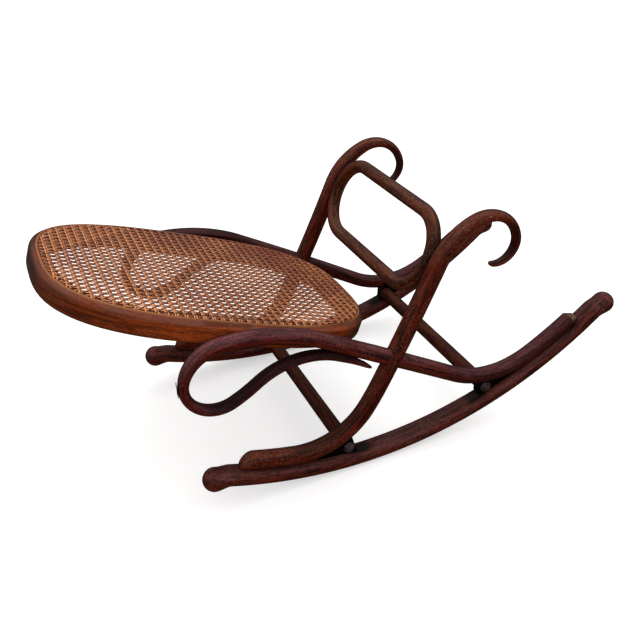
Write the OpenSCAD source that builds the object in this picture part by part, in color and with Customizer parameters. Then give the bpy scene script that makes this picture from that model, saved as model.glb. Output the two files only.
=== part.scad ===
// Rocking footstool: bent wood rods, a caned seat ring and a pair of rockers.
// Built about the centre of the rockers' arc and turned at the end to where it balances.

/* [Rockers] */
// Radius of the rockers' underside
rocker_radius = 680; // [500:2:1000]
// Half of the angle that the rockers cover
rocker_half_angle = 31.6; // [31:0.1:36]
// Distance between the middle planes of the two sides
side_spacing = 345; // [300:1:400]
// Width of a rocker across its round sides
rocker_wide = 37; // [32:0.5:44]
// Thickness of a rocker between its planed faces
rocker_thick = 27; // [20:0.5:32]
// Wood planed off the top and the underside of a rocker
rocker_planed = 1; // [0.5:0.1:2]
// Radius of the round ends of the rockers
knob_radius = 18; // [15:0.5:24]
// How far the round ends sit outward of the rocker's middle line
knob_drop = 7; // [0:0.5:9]
// How far inside the round end the rocker's own rod begins to round off
rocker_nose = 7; // [1:0.5:12]
// Angle from the rockers' middle to where the footstool balances
balance_angle = 9.2; // [0:0.1:12]

/* [Upright scrolls] */
// Angle of the upright scroll's foot end, from the rockers' middle
upright_start = 28.7; // [26:0.1:29]
// Length of the foot that lies on the rocker
upright_foot = 85.6; // [50:0.1:100]
// Bend up from the rocker: length and turn
upright_bend = [140, 68];
// Knee above the bend: length and turn
upright_knee = [40, 6];
// Straight run past the hoop: length and turn
upright_leg = [206.5, 3.5];
// Shoulder: length and turn
upright_shoulder = [84, -44];
// Top of the hook: length and turn
upright_hook = [95, -97];
// Curl of the hook: length and turn
upright_curl = [71, -128];
// Width and thickness of the rod
upright_wide = 27; // [22:0.5:32]
upright_thick = 28; // [22:0.5:32]
// Thickness at the foot
upright_foot_thick = 31; // [24:0.5:34]
// Wood planed off the foot where it lies on the rocker
upright_planed = 3; // [0.4:0.1:4]
// Wood planed off the inner side where the hoop bears
upright_side_planed = 1; // [0.5:0.1:2]
// Width and thickness at the top of the hook
hook_wide = 24; // [16:0.5:27]
hook_thick = 16.5; // [10:0.5:22]
// Width and thickness at the hook's end
hook_tip_wide = 14; // [8:0.5:20]
hook_tip_thick = 7.5; // [4:0.5:12]

/* [Seat scrolls] */
// Angle of the seat scroll's foot end, from the rockers' middle
scroll_start = 27; // [24:0.1:28]
// Length of the foot that lies on the rocker
scroll_foot = 95.5; // [60:0.1:110]
// Bend up from the rocker: length and turn
scroll_lift = [157, -58.4];
// Straight run past the upright: length and turn
scroll_run = [263, 1];
// Crest that carries the seat: length and turn
scroll_crest = [152, 30.5];
// Fall at the free end: length and turn
scroll_fall = [78, 75.5];
// Loop under the seat: length and turn
scroll_loop = [104, 128];
// Rise out of the loop: length and turn
scroll_rise = [42, 10.7];
// Tail: length and turn
scroll_tail = [134, -65];
// Tip: length and turn
scroll_tip = [65, -10];
// Width of the rod
scroll_wide = 26; // [20:0.5:32]
// Thickness at the foot
scroll_foot_thick = 28; // [22:0.5:32]
// Thickness where it crosses the upright scroll
scroll_joint_thick = 25; // [18:0.5:30]
// Thickness along the crest
scroll_thick = 23; // [18:0.5:28]
// Wood planed off the foot where it lies on the rocker
scroll_planed = 3; // [0.4:0.1:5]
// Wood planed off the inner side where the seat ring bears
scroll_side_planed = 1; // [0.5:0.1:2]
// Width and thickness of the loop and the tail
tail_wide = 23; // [18:0.5:28]
tail_thick = 15; // [10:0.5:20]
// Width and thickness at the tip
tip_wide = 10; // [6:0.5:16]
tip_thick = 6; // [4:0.5:10]

/* [Seat] */
// Half length of the caned panel
cane_half_length = 242; // [200:1:270]
// Distance from the panel's edge to the ring's outer side
ring_margin = 8; // [3:0.5:12]
// Roundness of the oval: 2 is an ellipse, more is squarer
oval_power = 2.9; // [2.4:0.1:3.4]
// Width of the ring
ring_wide = 26; // [20:0.5:34]
// Depth of the ring
ring_deep = 33; // [22:0.5:38]
// Slope of the seat down toward the hoop, from the rockers' middle plane
seat_slope = 29.8; // [24:0.1:34]
// Where along the seat scroll the ring is carried, from the foot end
seat_at = 604.5; // [585:0.5:625]
// How far that point is past the seat's centre toward the hoop
seat_ahead = 30; // [15:1:45]
// How far that point lies below the seat's top
seat_below = 6.6; // [5.5:0.1:10]
// Thickness of the caning
cane_thick = 2.4; // [1.5:0.1:4]
// Length and width of one opening in the caning
cane_gap = [12.5, 11];
// Spacing of the openings along and across
cane_pitch = [22.5, 20.5];
// Width of the strip that holds the caning
spline_wide = 4; // [3:0.2:6]
// Depth of its groove
spline_groove = 4; // [3:0.2:6]
// How far the strip stands above the ring
spline_proud = 1; // [0.2:0.1:2]

/* [Hoop] */
// Where along the upright scroll the hoop's middle lies, from the foot end
hoop_at = 468.4; // [444:0.1:479]
// Height of the hoop along the uprights, outside
hoop_height = 139.5; // [115:0.5:150]
// Diameter of the hoop's rod
hoop_rod = 21.5; // [14:0.5:24]
// Radius of the hoop's corners, at the middle of the rod
hoop_corner = 57; // [30:1:60]

/* [Stretchers] */
// Diameter of the stretchers
stretcher_rod = 24; // [20:0.5:26]
// Height of the stretchers' middle above the rockers' flat top
bar_height = 10; // [9.5:0.5:13]
// Room in the fork where the bolts pass, at the front and at the rear
fork_room = [22.5, 18]; // [14:0.5:28]
// How far the wedge blocks reach outward of the side's middle plane
wedge_out = 6; // [4:0.5:12]
// How far past the bolt a wedge ends, at its top and at the rocker
wedge_past = [1, 14]; // [0:1:20]
// Diameter and height of the bolts' domed heads
bolt_head = 19; // [12:0.5:20]
bolt_dome = 6; // [3:0.5:9]
// Diameter of the bolts' shanks
bolt_shank = 7; // [5:0.5:9]
// How far the bolts reach into the stretchers
bolt_reach = 42; // [25:1:60]

/* [Screws] */
// Diameter of a screw's shank
screw_shank = 4.5; // [3:0.1:6]
// Diameter of a screw's head
screw_head = 9; // [7:0.1:11]
// Height of a screw's cone head
screw_cone = 3; // [2:0.1:4]
// How far the heads lie below the wood
screw_sunk = 1.5; // [0.3:0.1:3]
// How far a screw reaches into the second piece
screw_bite = 15; // [8:0.5:18]
// Clearance round a shank or a head
screw_clear = 0.05; // [0.02:0.01:0.2]

/* [Hidden] */
$fn = 48;
wood = "#54291c";
wood_light = "#6b3823";
cane = "#c08552";
iron = "#5d534c";
eps = 0.01;

// Fineness of the rods: sides, rings in a rounded end, degrees and length of wood a ring stands for
rod_sides = 12;
nose_steps = 4;
ring_turn = 9;
ring_run = 30;
ring_least = 1;
rocker_sides = 24;
rocker_turns = 360;
fine_steps = 80;
wedge_steps = 12;
hoop_corner_steps = 7;
oval_steps = 64;

// Rounded ends: [length of the rounding, share of the section left at the end]
upright_nose = [upright_foot_thick * 0.42, 0.45];
upright_point = [hook_tip_thick * 0.6, 0.25];
scroll_nose = [scroll_foot_thick * 0.36, 0.6];
scroll_point = [tip_thick, 0.25];
// Share of the seat scroll's straight run, past the crossing, that keeps the joint's thickness
joint_share = 0.65;
// Share of the lost thickness by which an end's rounding moves off the rocker
nose_lift = 0.6;
// Least wood beyond a screw's point
wood_left = 3;
// Where along a foot its two screws stand
foot_screw_shares = [0.3, 0.75];
// Distance of a hoop screw from the corner, and of a ring screw from the bearing point
hoop_screw_inset = 12;
ring_screw_inset = 15;
// How far the ring screws lie below the bearing point
ring_screw_under = 2;
// Ease on the ring's inner edges
ring_ease = 2;
// Solid border of the caning inside the ring
net_border = 4;
// Least straight length of the hoop's side
hoop_straight = 1;

// Levels and planes that more than one piece uses
half_spacing = side_spacing / 2;
rocker_line = rocker_radius - rocker_thick / 2;
contact_radius = rocker_radius - rocker_thick;
down = -90;
upright_inner = half_spacing - upright_wide / 2 + upright_side_planed;
ring_half_wide = half_spacing - scroll_wide / 2 + scroll_side_planed;
cane_half_wide = ring_half_wide - ring_margin;

// A path is a start [x, z, heading, distance] and steps of [length, turn]
function step_end(s, g) = g[1] == 0
    ? [s[0] + g[0] * cos(s[2]), s[1] + g[0] * sin(s[2]), s[2], s[3] + g[0]]
    : let (r = g[0] * 180 / (PI * g[1]))
      [s[0] + r * (sin(s[2] + g[1]) - sin(s[2])), s[1] - r * (cos(s[2] + g[1]) - cos(s[2])),
       s[2] + g[1], s[3] + g[0]];
function path_at(s, steps, d, i = 0) = let (g = steps[i])
    d <= g[0] || i == len(steps) - 1
        ? step_end(s, g * (d / g[0]))
        : path_at(step_end(s, g), steps, d - g[0], i + 1);
function sum(v, i = 0) = i == len(v) ? 0 : v[i] + sum(v, i + 1);
function lengths(steps) = [for (g = steps) g[0]];
function step_starts(steps) = [for (i = [0:len(steps) - 1]) sum([for (k = [0:1:i - 1]) steps[k][0]])];

// Distances along a path at which a section is drawn, closer where it bends
function marks(steps, nose, tip) = let (from = step_starts(steps), all = sum(lengths(steps)))
    concat([for (k = [0:nose_steps - 1]) nose * (1 - cos(90 * k / nose_steps))],
        [for (i = [0:len(steps) - 1])
            let (n = ceil(max(abs(steps[i][1]) / ring_turn, steps[i][0] / ring_run)))
            for (k = [0:n - 1])
                let (d = from[i] + steps[i][0] * k / n) if (d >= nose && d < all - tip - ring_least) d],
        [for (k = [0:nose_steps]) all - tip * (1 - sin(90 * k / nose_steps))]);
// Share of the full section that is left at the rounded ends
function end_round(d, end) = end[1] + (1 - end[1]) * sqrt(max(0, 1 - pow(1 - d / end[0], 2)));
function end_share(d, all, nose, point) =
    d < nose[0] ? end_round(d, nose) : d > all - point[0] ? end_round(all - d, point) : 1;

// One oval section, planed where it meets the rocker and on the inner side
function planed(p, inner) = let (r = norm([p[0], p[2]]), k = min(1, contact_radius / r))
    [p[0] * k, max(p[1], inner), p[2] * k];
function section(c, wide, thick, lift, inner) = [for (j = [0:rod_sides - 1])
    let (a = 360 * (j + 0.5) / rod_sides, n = [-sin(c[2]), 0, cos(c[2])])
    planed([c[0], half_spacing, c[1]] + n * (thick * sin(a) + lift) + [0, wide * cos(a), 0], inner)];

function middle(ring) = [for (k = [0:2]) sum([for (p = ring) p[k]]) / len(ring)];
module sweep_open(rings) {
    m = len(rings[0]);
    n = len(rings);
    points = concat([for (r = rings) each r], [middle(rings[0]), middle(rings[n - 1])]);
    sides = [for (i = [0:n - 2]) for (j = [0:m - 1])
        let (a = i * m + j, b = i * m + (j + 1) % m) each [[a, b + m, b], [a, a + m, b + m]]];
    ends = [for (j = [0:m - 1]) each
        [[n * m, j, (j + 1) % m], [n * m + 1, (n - 1) * m + (j + 1) % m, (n - 1) * m + j]]];
    polyhedron(points, concat(sides, ends));
}

module sweep_closed(rings) {
    m = len(rings[0]);
    n = len(rings);
    polyhedron([for (r = rings) each r], [for (i = [0:n - 1]) for (j = [0:m - 1])
        let (a = i * m, b = ((i + 1) % n) * m, k = (j + 1) % m)
        each [[a + j, b + k, a + k], [a + j, b + j, b + k]]]);
}

// sizes: rows of [distance, half width, half thickness]
module rod(start, steps, sizes, nose, point, lift_side, inner) {
    all = sum(lengths(steps));
    sweep_open([for (d = marks(steps, nose[0], point[0]))
        let (c = path_at(start, steps, d), k = end_share(d, all, nose, point),
             wide = lookup(d, [for (r = sizes) [r[0], r[1]]]),
             thick = lookup(d, [for (r = sizes) [r[0], r[2]]]),
             lift = d < nose[0] ? lift_side * thick * (1 - k) * nose_lift : 0)
        section(c, wide * k, thick * k, lift, inner)]);
}

// Upright scroll: foot on the rocker, leg, and hook at the top
upright_radius = contact_radius - upright_foot_thick / 2 + upright_planed;
upright_steps = [[upright_foot, upright_foot * 180 / (PI * upright_radius)], upright_bend,
    upright_knee, upright_leg, upright_shoulder, upright_hook, upright_curl];
upright_from = [upright_radius * cos(down - upright_start), upright_radius * sin(down - upright_start),
    -upright_start, 0];
upright_all = sum(lengths(upright_steps));
upright_bow = upright_all - upright_shoulder[0] - upright_hook[0] - upright_curl[0];
upright_top = upright_all - upright_curl[0] - upright_hook[0] * 0.6;
upright_sizes = [[0, upright_wide, upright_foot_thick], [upright_foot, upright_wide, upright_foot_thick],
    [upright_foot + upright_bend[0], upright_wide, upright_thick],
    [upright_bow, upright_wide, upright_thick],
    [upright_top, hook_wide, hook_thick],
    [upright_all, hook_tip_wide, hook_tip_thick]] * [[1, 0, 0], [0, 0.5, 0], [0, 0, 0.5]];

// Seat scroll: foot on the rocker, crest under the seat, loop and tail
scroll_radius = contact_radius - scroll_foot_thick / 2 + scroll_planed;
scroll_steps = [[scroll_foot, -scroll_foot * 180 / (PI * scroll_radius)], scroll_lift, scroll_run,
    scroll_crest, scroll_fall, scroll_loop, scroll_rise, scroll_tail, scroll_tip];
scroll_from = [scroll_radius * cos(down + scroll_start), scroll_radius * sin(down + scroll_start),
    180 + scroll_start, 0];
scroll_all = sum(lengths(scroll_steps));
scroll_bow = scroll_foot + scroll_lift[0] + scroll_run[0] + scroll_crest[0];
scroll_sizes = [[0, scroll_wide, scroll_foot_thick], [scroll_foot, scroll_wide, scroll_foot_thick],
    [scroll_foot + scroll_lift[0], scroll_wide, scroll_joint_thick],
    [scroll_foot + scroll_lift[0] + scroll_run[0] * joint_share, scroll_wide, scroll_joint_thick],
    [scroll_bow - scroll_crest[0], scroll_wide, scroll_thick], [scroll_bow, scroll_wide, scroll_thick],
    [scroll_bow + scroll_fall[0], tail_wide, tail_thick],
    [scroll_all - scroll_tip[0], tail_wide, tail_thick * 0.9],
    [scroll_all, tip_wide, tip_thick]] * [[1, 0, 0], [0, 0.5, 0], [0, 0, 0.5]];

// Where the middle lines of the two scrolls cross
function corners(start, steps) = [for (d = marks(steps, 0, 0)) path_at(start, steps, d)];
function flat(p) = [p[0], p[1]];
function crossings(a, b) = [for (i = [0:len(a) - 2]) for (j = [0:len(b) - 2])
    let (r = flat(a[i + 1] - a[i]), s = flat(b[j + 1] - b[j]), q = flat(b[j] - a[i]), k = cross(r, s))
    if (abs(k) > eps)
        let (t = cross(q, s) / k, u = cross(q, r) / k)
        if (t >= 0 && t < 1 && u >= 0 && u < 1)
            [a[i][0] + r[0] * t, a[i][1] + r[1] * t, atan2(r[1], r[0]), atan2(s[1], s[0])]];
crossing = crossings(corners(upright_from, upright_steps), corners(scroll_from, scroll_steps))[0];

// Where the fork between a foot and the rocker has a given room
bar_line = contact_radius - bar_height;
function at_angle(r, a) = [r * cos(down + a), r * sin(down + a)];
fork_turn = 0.1;
fork_turns_most = 400;
function gap_to(points, c, half) = min([for (p = points) norm(flat(p) - c)]) - half;
function fork_angle(points, half, room, from, side, i = 0) =
    i > fork_turns_most || gap_to(points, at_angle(contact_radius - room / 2, from), half) >= room / 2
        ? from : fork_angle(points, half, room, from + side * fork_turn, side, i + 1);
function fine(start, steps) = [for (k = [0:fine_steps])
    path_at(start, steps, steps[0][0] / 2 + (steps[0][0] / 2 + steps[1][0]) * k / fine_steps)];
upright_fork_points = fine(upright_from, upright_steps);
scroll_fork_points = fine(scroll_from, scroll_steps);
upright_foot_end = upright_foot * 180 / (PI * upright_radius) - upright_start;
scroll_foot_end = scroll_start - scroll_foot * 180 / (PI * scroll_radius);
front_angle = fork_angle(upright_fork_points, upright_foot_thick / 2, fork_room[0], upright_foot_end, 1);
rear_angle = fork_angle(scroll_fork_points, scroll_foot_thick / 2, fork_room[1], scroll_foot_end, -1);

// The seat's own frame: x along the seat toward the hoop, y across, z up out of the caning
seat_point = path_at(scroll_from, scroll_steps, seat_at);
seat_x = seat_point[0] - seat_ahead * cos(seat_slope) + seat_below * sin(seat_slope);
seat_z = seat_point[1] + seat_ahead * sin(seat_slope) + seat_below * cos(seat_slope);
ring_screw_at = [seat_ahead - ring_screw_inset, seat_ahead + ring_screw_inset];
ring_screw_level = seat_below + ring_screw_under;
module in_seat() {
    translate([seat_x, 0, seat_z]) rotate([0, seat_slope, 0]) children();
}

// The hoop's own frame: x up along the uprights, y across
hoop_point = path_at(upright_from, upright_steps, hoop_at);
hoop_half_wide = upright_inner - hoop_rod / 2;
hoop_half_high = (hoop_height - hoop_rod) / 2;
hoop_bend = min(hoop_corner, hoop_half_high - hoop_straight);
hoop_screw_at = hoop_half_high - hoop_bend + hoop_screw_inset;
module in_hoop() {
    translate([hoop_point[0], 0, hoop_point[1]]) rotate([0, -hoop_point[2], 0]) children();
}

module at_rest() {
    translate([0, 0, rocker_radius]) rotate([0, -balance_angle, 0]) children();
}
module left() { translate([0, half_spacing, 0]) children(); }
module right() { mirror([0, 1, 0]) children(); }
module both_sides() {
    children();
    mirror([0, 1, 0]) children();
}
// Places children on the rocker at an angle, x along it and z toward the arc's centre
module on_arc(radius, angle) {
    rotate([0, -angle, 0]) translate([0, 0, -radius]) children();
}

// A screw that points along +Z, with its head's face at z = 0
module screw(reach, clear = 0) {
    cylinder(d = screw_shank + 2 * clear, h = reach + clear);
    cylinder(d1 = screw_head + 2 * clear, d2 = screw_shank + 2 * clear, h = screw_cone);
}
module screw_hole(reach) {
    mouth = screw_sunk * 4;
    screw(reach, screw_clear);
    translate([0, 0, -mouth]) cylinder(d = screw_head + 2 * screw_clear, h = mouth + eps);
}

// Foot screws: up through the rocker into each foot
foot_screw_reach = rocker_thick - screw_sunk + screw_bite;
upright_screws = [for (k = foot_screw_shares) upright_foot_end - (upright_start + upright_foot_end) * k];
scroll_screws = [for (k = foot_screw_shares) scroll_foot_end + (scroll_start - scroll_foot_end) * k];
module foot_screws(angles, hole = false) {
    for (a = angles) left() on_arc(rocker_radius - screw_sunk, a) {
        if (hole) screw_hole(foot_screw_reach); else screw(foot_screw_reach);
    }
}

// Crossing screw: from the inner side through the seat scroll into the upright
crossing_reach = scroll_wide / 2 - scroll_side_planed - screw_sunk
    + min(screw_bite, upright_wide / 2 - wood_left);
module crossing_screw(hole = false) {
    translate([crossing[0], ring_half_wide + screw_sunk, crossing[1]])
        rotate([-90, 0, 0]) {
            if (hole) screw_hole(crossing_reach); else screw(crossing_reach);
        }
}

// Hoop screws: from inside the hoop through its side into the upright
hoop_screw_reach = hoop_rod - screw_sunk + screw_bite;
module hoop_screw_pair(hole = false) {
    in_hoop() for (x = [-hoop_screw_at, hoop_screw_at])
        translate([x, upright_inner - hoop_rod + screw_sunk, 0]) rotate([-90, 0, 0]) {
            if (hole) screw_hole(hoop_screw_reach); else screw(hoop_screw_reach);
        }
}

// Ring screws: from inside the ring into the seat scroll
ring_screw_reach = ring_wide - screw_sunk + screw_bite;
module ring_screw_pair(hole = false) {
    in_seat() for (x = ring_screw_at)
        translate([x, ring_half_wide - ring_wide + screw_sunk, -ring_screw_level]) rotate([-90, 0, 0]) {
            if (hole) screw_hole(ring_screw_reach); else screw(ring_screw_reach);
        }
}

// Bolts: through each wedge into the stretcher's end
wedge_outer = half_spacing + wedge_out;
wedge_inner = min(upright_inner, ring_half_wide);
wedge_wide = wedge_outer - wedge_inner;
module bolt(angle, clear = 0) {
    on_arc(bar_line, angle) translate([0, wedge_outer + clear, 0]) rotate([90, 0, 0])
        cylinder(d = bolt_shank + 2 * clear, h = wedge_wide + bolt_reach + 2 * clear);
}
module bolt_cap(angle) {
    r = (bolt_head * bolt_head / 4 + bolt_dome * bolt_dome) / (2 * bolt_dome);
    on_arc(bar_line, angle) translate([0, wedge_outer, 0]) rotate([-90, 0, 0]) intersection() {
        translate([0, 0, bolt_dome - r]) sphere(r = r);
        cylinder(d = bolt_head, h = bolt_dome);
    }
}

// Oval of the rocker's section, planed flat above and below
rocker_round = rocker_thick / 2 + rocker_planed;
module rocker_section() {
    intersection() {
        polygon([for (k = [0:rocker_sides - 1])
            let (a = 360 * k / rocker_sides) [rocker_round * cos(a), rocker_wide / 2 * sin(a)]]);
        square([rocker_thick, 2 * rocker_wide], center = true);
    }
}
rocker_end = rocker_half_angle - rocker_nose * 180 / (PI * rocker_line);
module knob(side) {
    on_arc(rocker_line + knob_drop, side * rocker_half_angle) sphere(r = knob_radius);
    on_arc(rocker_line, side * rocker_end) intersection() {
        rotate([0, side * 90, 0]) linear_extrude(height = rocker_wide / 2) rocker_section();
        sphere(d = rocker_wide);
    }
}
module rocker() {
    color(wood) difference() {
        left() union() {
            rotate([90, 0, 0]) rotate([0, 0, down - rocker_end])
                rotate_extrude(angle = 2 * rocker_end, $fn = rocker_turns)
                    translate([rocker_line, 0]) rocker_section();
            knob(-1);
            knob(1);
        }
        foot_screws(upright_screws, true);
        foot_screws(scroll_screws, true);
    }
}

// Half-lap notches: the upright keeps its outer half, the seat scroll its inner half
lap_length = 3 * max(scroll_wide, upright_wide);
module lap(heading, high, outer) {
    translate([crossing[0], half_spacing, crossing[1]]) rotate([0, -heading, 0])
        translate([-lap_length / 2, outer ? 0 : -lap_length, -high / 2])
            cube([lap_length, lap_length, high]);
}
module upright_body() {
    rod(upright_from, upright_steps, upright_sizes, upright_nose, upright_point, -1, upright_inner);
}
module upright_scroll() {
    color(wood) difference() {
        upright_body();
        lap(crossing[3], scroll_joint_thick, false);
        foot_screws(upright_screws, true);
        crossing_screw(true);
        hoop_screw_pair(true);
    }
}
module scroll_body() {
    rod(scroll_from, scroll_steps, scroll_sizes, scroll_nose, scroll_point, 1, ring_half_wide);
}
module seat_scroll() {
    color(wood) difference() {
        scroll_body();
        lap(crossing[2], upright_thick, true);
        foot_screws(scroll_screws, true);
        crossing_screw(true);
        ring_screw_pair(true);
    }
}

// Hoop: a rounded rectangle of round rod
function hoop_line(corner_steps) = [for (q = [0:3]) for (k = [0:corner_steps])
    let (a = 90 * q + 90 * k / corner_steps, sx = (q == 0 || q == 3) ? 1 : -1, sy = q < 2 ? 1 : -1)
    [sx * (hoop_half_high - hoop_bend) + hoop_bend * cos(a),
     sy * (hoop_half_wide - hoop_bend) + hoop_bend * sin(a), a]];
module hoop() {
    color(wood_light) difference() {
        in_hoop() sweep_closed([for (c = hoop_line(hoop_corner_steps)) [for (j = [0:rod_sides - 1])
            let (b = 360 * (j + 0.5) / rod_sides, out = hoop_rod / 2 * cos(b))
            [c[0] + out * cos(c[2]), c[1] + out * sin(c[2]), -hoop_rod / 2 * sin(b)]]]);
        hoop_screw_pair(true);
        mirror([0, 1, 0]) hoop_screw_pair(true);
    }
}

// Oval outline at a distance outside the caning's edge
function power(v, p) = sign(v) * pow(abs(v), p);
function oval_point(a, out) = let (c = cos(a), s = sin(a), e = oval_power,
    p = [cane_half_length * power(c, 2 / e), cane_half_wide * power(s, 2 / e)],
    n = [power(p[0] / cane_half_length, e - 1) / cane_half_length,
         power(p[1] / cane_half_wide, e - 1) / cane_half_wide])
    p + n / norm(n) * out;
function oval(out) = [for (k = [0:oval_steps - 1]) oval_point(360 * (k + 0.5) / oval_steps, out)];
// Sweeps a profile of [outward, up] points round the oval
module oval_sweep(profile) {
    sweep_closed([for (k = [0:oval_steps - 1]) [for (q = profile)
        let (p = oval_point(360 * (k + 0.5) / oval_steps, q[0])) [p[0], p[1], q[1]]]]);
}
ring_in = ring_margin - ring_wide;
ring_round = min(ring_margin * 1.2, ring_deep / 3);
ring_profile = [[ring_in + ring_ease, 0], [-spline_wide, 0], [-spline_wide, -spline_groove],
    [0, -spline_groove], [0, 0], [ring_margin * 0.6, -ring_round * 0.25], [ring_margin, -ring_round],
    [ring_margin, ring_round * 0.8 - ring_deep], [ring_margin * 0.5, ring_round * 0.25 - ring_deep],
    [ring_margin - ring_round, -ring_deep], [ring_in + ring_round, -ring_deep],
    [ring_in, ring_round - ring_deep], [ring_in, -ring_ease]];
module seat_ring() {
    color(wood_light) difference() {
        in_seat() oval_sweep(ring_profile);
        ring_screw_pair(true);
        mirror([0, 1, 0]) ring_screw_pair(true);
    }
}
module cane_spline() {
    color(cane) in_seat() oval_sweep([[-spline_wide, spline_proud], [-spline_wide, -spline_groove],
        [0, -spline_groove], [0, spline_proud]]);
}

// Caning: a flat net of openings inside the strip
net_half = [cane_half_length, cane_half_wide] - [1, 1] * (ring_wide - ring_margin + net_border);
net_count = [floor(net_half[0] / cane_pitch[0]), floor(net_half[1] / cane_pitch[1])];
function in_net(x, y) =
    pow((abs(x) + cane_gap[0] / 2) / net_half[0], oval_power)
    + pow((abs(y) + cane_gap[1] / 2) / net_half[1], oval_power) < 1;
module cane_opening() {
    c = min(cane_gap) / 3.5;
    x = cane_gap[0] / 2;
    y = cane_gap[1] / 2;
    polygon([[x, y - c], [x - c, y], [c - x, y], [-x, y - c], [-x, c - y], [c - x, -y], [x - c, -y],
        [x, c - y]]);
}
module cane_panel() {
    color(cane) in_seat() linear_extrude(height = cane_thick) difference() {
        polygon(oval(-spline_wide));
        for (i = [-net_count[0]:net_count[0]]) for (j = [-net_count[1]:net_count[1]])
            if (in_net(i * cane_pitch[0], j * cane_pitch[1]))
                translate([i * cane_pitch[0], j * cane_pitch[1]]) cane_opening();
    }
}

// Stretcher between the wedges' inner faces
module stretcher(angle) {
    color(wood) difference() {
        on_arc(bar_line, angle) rotate([90, 0, 0])
            translate([0, 0, -wedge_inner]) cylinder(d = stretcher_rod, h = 2 * wedge_inner);
        both_sides() bolt(angle, screw_clear);
    }
}

// Wedge block in the fork, shaped to the foot above and the rocker below
module wedge(angle, foot_angle, points, toward) {
    past = [for (d = wedge_past) toward * (angle + toward * d * 180 / (PI * bar_line))];
    lower = [for (k = [0:wedge_steps])
        at_angle(contact_radius, foot_angle + (toward * past[1] - foot_angle) * k / wedge_steps)];
    upper = [for (p = points) let (a = toward * atan2(p[0], -p[1]))
        if (a > toward * foot_angle && a < past[0]) flat(p)];
    difference() {
        translate([0, wedge_outer, 0]) rotate([90, 0, 0]) linear_extrude(height = wedge_wide)
            polygon(concat(lower, [for (k = [len(upper) - 1:-2:0]) upper[k]]));
        children();
    }
}
module front_wedge() {
    color(wood) difference() {
        wedge(front_angle, upright_foot_end, upright_fork_points, 1) upright_body();
        bolt(front_angle, screw_clear);
    }
}
module rear_wedge() {
    color(wood) difference() {
        wedge(rear_angle, scroll_foot_end, scroll_fork_points, -1) scroll_body();
        bolt(rear_angle, screw_clear);
    }
}
module bolts(angle) {
    color(iron) both_sides() {
        bolt(angle);
        bolt_cap(angle);
    }
}

at_rest() rocker();  // rocker_left
at_rest() right() rocker();  // rocker_right
at_rest() upright_scroll();  // upright_scroll_left
at_rest() right() upright_scroll();  // upright_scroll_right
at_rest() seat_scroll();  // seat_scroll_left
at_rest() right() seat_scroll();  // seat_scroll_right
at_rest() hoop();
at_rest() seat_ring();
at_rest() cane_panel();
at_rest() cane_spline();
at_rest() stretcher(front_angle);  // front_stretcher
at_rest() stretcher(rear_angle);  // rear_stretcher
at_rest() front_wedge();  // front_wedge_left
at_rest() right() front_wedge();  // front_wedge_right
at_rest() rear_wedge();  // rear_wedge_left
at_rest() right() rear_wedge();  // rear_wedge_right
at_rest() bolts(front_angle);  // front_bolts
at_rest() bolts(rear_angle);  // rear_bolts
color(iron) at_rest() both_sides() foot_screws(upright_screws);  // front_foot_screws
color(iron) at_rest() both_sides() foot_screws(scroll_screws);  // rear_foot_screws
color(iron) at_rest() both_sides() crossing_screw();  // crossing_screws
color(iron) at_rest() both_sides() hoop_screw_pair();  // hoop_screws
color(iron) at_rest() both_sides() ring_screw_pair();  // ring_screws
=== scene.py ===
import bpy
import numpy as np
from mathutils import Matrix, Vector


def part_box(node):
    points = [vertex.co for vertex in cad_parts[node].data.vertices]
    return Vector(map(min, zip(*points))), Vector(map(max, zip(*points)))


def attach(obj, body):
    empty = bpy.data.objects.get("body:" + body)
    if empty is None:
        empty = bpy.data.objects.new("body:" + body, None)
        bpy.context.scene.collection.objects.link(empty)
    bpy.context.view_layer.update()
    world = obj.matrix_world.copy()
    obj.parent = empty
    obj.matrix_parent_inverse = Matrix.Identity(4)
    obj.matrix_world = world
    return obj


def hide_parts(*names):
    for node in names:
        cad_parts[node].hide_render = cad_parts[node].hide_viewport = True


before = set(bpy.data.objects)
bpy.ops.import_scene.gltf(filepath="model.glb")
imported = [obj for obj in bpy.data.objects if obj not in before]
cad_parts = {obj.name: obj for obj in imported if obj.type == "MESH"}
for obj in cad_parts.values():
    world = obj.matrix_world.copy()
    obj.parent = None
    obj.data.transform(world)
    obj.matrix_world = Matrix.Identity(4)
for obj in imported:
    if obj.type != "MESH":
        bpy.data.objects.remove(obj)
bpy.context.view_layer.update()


# Camera. The photograph was taken standing beside the near rocker, looking down on the seat. The place,
# direction and lens were worked out from the footstool's own symmetry.
eye = Vector((-0.4357, -0.96495, 0.83966))
sight = Vector((0.34217, 0.769, -0.53988))
level = Vector((0.9085, -0.4176, -0.01903))
focal_length = 42.27

camera_data = bpy.data.cameras.new("camera")
camera_data.lens = focal_length
camera_data.sensor_width = 36.0
camera = bpy.data.objects.new("camera", camera_data)
upward = level.cross(sight).normalized()
level = sight.cross(upward).normalized()
turned = Matrix((level, upward, -sight.normalized())).transposed().to_4x4()
camera.matrix_world = Matrix.Translation(eye) @ turned
bpy.context.scene.collection.objects.link(camera)
bpy.context.scene.camera = camera


# Studio. A wide pale floor under a soft dome that is brightest overhead, and one lamp above the far side.
# The floor gives back little light, because the photograph's undersides are dark.
floor_half = 6.0
floor_pale, floor_glow, floor_dull = (0.72, 0.72, 0.72, 1.0), 0.5, (0.24, 0.2, 0.18, 1.0)
horizon_level, zenith_gain = 0.2, 1.32
dome_tint = (1.0, 0.99, 0.98, 1.0)
lamp_place, lamp_aim = Vector((0.5, 0.9, 2.4)), Vector((0.0, 0.0, 0.2))
lamp_wide, lamp_power = 1.6, 6.0

view_settings = bpy.context.scene.view_settings
view_settings.view_transform = "Standard"


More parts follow.
